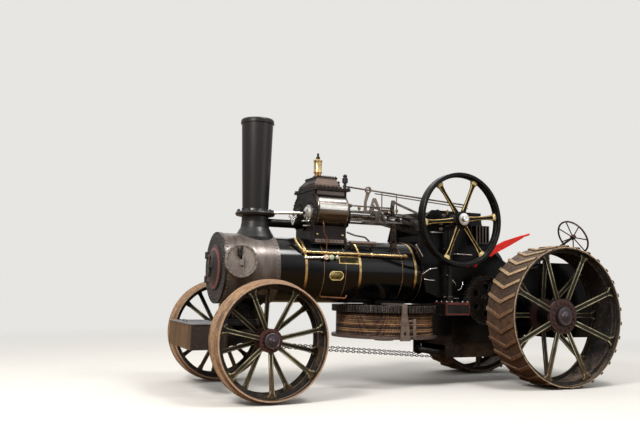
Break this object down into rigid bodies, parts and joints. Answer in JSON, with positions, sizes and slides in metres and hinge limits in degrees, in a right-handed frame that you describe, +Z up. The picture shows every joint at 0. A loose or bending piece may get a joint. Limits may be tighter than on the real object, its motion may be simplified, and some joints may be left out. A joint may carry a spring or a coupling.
{
  "type": "steam ploughing engine",
  "caption": "Steam traction engine for cable ploughing: boiler with chimney, crankshaft engine on top, winding drum below, spoked iron wheels and a swivelling front axle.",
  "frame": {"origin": "middle of the overall box, on the ground under the wheels", "axes": "+X forward to the chimney end, +Y to the engine's left (flywheel side), +Z up"},
  "size_m": [6.97, 2.73, 3.822],
  "materials": {
    "boiler_barrel": "oily black lagging sheet",
    "boiler_brass": "rubbed brass",
    "smokebox": "heat-faded grey",
    "smokebox_side_cover": "pale ash-grey",
    "smokebox_door": "heat-browned",
    "chimney": "dull black",
    "perch_bracket": "oily black",
    "cylinder_block": "dark and oily",
    "cylinder_cladding": "polished",
    "safety_valve": "rubbed brass",
    "exhaust_pipe": "black",
    "slide_bars": "bright, oily",
    "connecting_rods": "bright, oily",
    "crankshaft": "bright, oily",
    "hornplates": "oily black",
    "firebox": "oily black",
    "ashpan": "rusty plate",
    "gear_train": "greasy teeth",
    "drum_shaft": "greasy",
    "drum_bracket": "oily black",
    "drum_gear": "greasy, worn bright at the teeth",
    "drum_rope": "rusty wire rope",
    "coiling_gear": "worn grey",
    "rear_axle": "greasy",
    "tender": "black",
    "regulator_rod": "dark steel",
    "steering_column": "black",
    "steering_wheel": "dark red",
    "steering_chains": "dark chain",
    "reversing_lever": "red",
    "boiler_fittings": "dull brass",
    "firehole_door": "sooty",
    "drawbar": "black",
    "front_axle": "oily black",
    "tool_box": "rust-brown",
    "tool_box_lid": "grey",
    "flywheel": "black with yellow lining",
    "rear_left_rim": "muddy steel",
    "rear_left_spokes": "dark with olive lining",
    "front_left_rim": "steel with dried mud and straw",
    "front_left_spokes": "dark with olive lining",
    "rear_right_rim": "muddy steel",
    "rear_right_spokes": "dark with olive lining",
    "front_right_rim": "steel with dried mud and straw",
    "front_right_spokes": "dark with olive lining"
  },
  "bodies": {
    "engine": {"boiler_barrel": "boiler_barrel", "boiler_brass": "boiler_brass", "smokebox": "smokebox", "smokebox_side_cover": "smokebox_side_cover", "chimney": "chimney", "perch_bracket": "perch_bracket", "cylinder_block": "cylinder_block", "cylinder_cladding": "cylinder_cladding", "safety_valve": "safety_valve", "exhaust_pipe": "exhaust_pipe", "slide_bars": "slide_bars", "connecting_rods": "connecting_rods", "crankshaft": "crankshaft", "hornplates": "hornplates", "firebox": "firebox", "ashpan": "ashpan", "gear_train": "gear_train", "drum_shaft": "drum_shaft", "drum_bracket": "drum_bracket", "coiling_gear": "coiling_gear", "rear_axle": "rear_axle", "tender": "tender", "regulator_rod": "regulator_rod", "steering_column": "steering_column", "steering_chains": "steering_chains", "reversing_lever": "reversing_lever", "boiler_fittings": "boiler_fittings", "drawbar": "drawbar"},
    "fore_carriage": {"front_axle": "front_axle", "tool_box": "tool_box"},
    "lid": {"tool_box_lid": "tool_box_lid"},
    "smokebox_door": {"smokebox_door": "smokebox_door"},
    "firehole_door": {"firehole_door": "firehole_door"},
    "flywheel": {"flywheel": "flywheel"},
    "drum": {"drum_gear": "drum_gear", "drum_rope": "drum_rope"},
    "steering_hand_wheel": {"steering_wheel": "steering_wheel"},
    "rear_left_wheel": {"rear_left_rim": "rear_left_rim", "rear_left_spokes": "rear_left_spokes"},
    "rear_right_wheel": {"rear_right_rim": "rear_right_rim", "rear_right_spokes": "rear_right_spokes"},
    "front_left_wheel": {"front_left_rim": "front_left_rim", "front_left_spokes": "front_left_spokes"},
    "front_right_wheel": {"front_right_rim": "front_right_rim", "front_right_spokes": "front_right_spokes"}
  },
  "joints": [
    {"name": "steering", "type": "hinge", "parent": "engine", "child": "fore_carriage", "pos_m": [2.618, 0, 0.9], "axis": [0, 0, 1], "range_deg": [-28, 28]},
    {"name": "tool_box_lid_hinge", "type": "hinge", "parent": "fore_carriage", "child": "lid", "pos_m": [2.986, 0.4, 0.934], "axis": [0, -1, 0], "range_deg": [0, 55]},
    {"name": "smokebox_door_hinge", "type": "hinge", "parent": "engine", "child": "smokebox_door", "pos_m": [3.052, -0.348, 1.68], "axis": [0, 0, -1], "range_deg": [0, 110]},
    {"name": "firehole_door_hinge", "type": "hinge", "parent": "engine", "child": "firehole_door", "pos_m": [-1.657, -0.19, 1.43], "axis": [0, 0, 1], "range_deg": [0, 100]},
    {"name": "flywheel_turn", "type": "hinge", "parent": "engine", "child": "flywheel", "pos_m": [-0.449, 0.9, 2.47], "axis": [0, 1, 0], "continuous": true},
    {"name": "drum_turn", "type": "hinge", "parent": "engine", "child": "drum", "pos_m": [0.337, 0, 0.95], "axis": [0, 0, 1], "continuous": true},
    {"name": "steering_wheel_turn", "type": "hinge", "parent": "engine", "child": "steering_hand_wheel", "pos_m": [-3.152, 0.35, 2.367], "axis": [-0.866, 0, 0.5], "continuous": true},
    {"name": "rear_left_turn", "type": "hinge", "parent": "engine", "child": "rear_left_wheel", "pos_m": [-2.065, 1.06, 1.067], "axis": [0, 1, 0], "continuous": true},
    {"name": "rear_right_turn", "type": "hinge", "parent": "engine", "child": "rear_right_wheel", "pos_m": [-2.065, -1.06, 1.067], "axis": [0, 1, 0], "continuous": true},
    {"name": "front_left_turn", "type": "hinge", "parent": "fore_carriage", "child": "front_left_wheel", "pos_m": [2.618, 1.149, 0.762], "axis": [0, 1, 0], "continuous": true},
    {"name": "front_right_turn", "type": "hinge", "parent": "fore_carriage", "child": "front_right_wheel", "pos_m": [2.618, -1.149, 0.762], "axis": [0, 1, 0], "continuous": true}
  ]
}
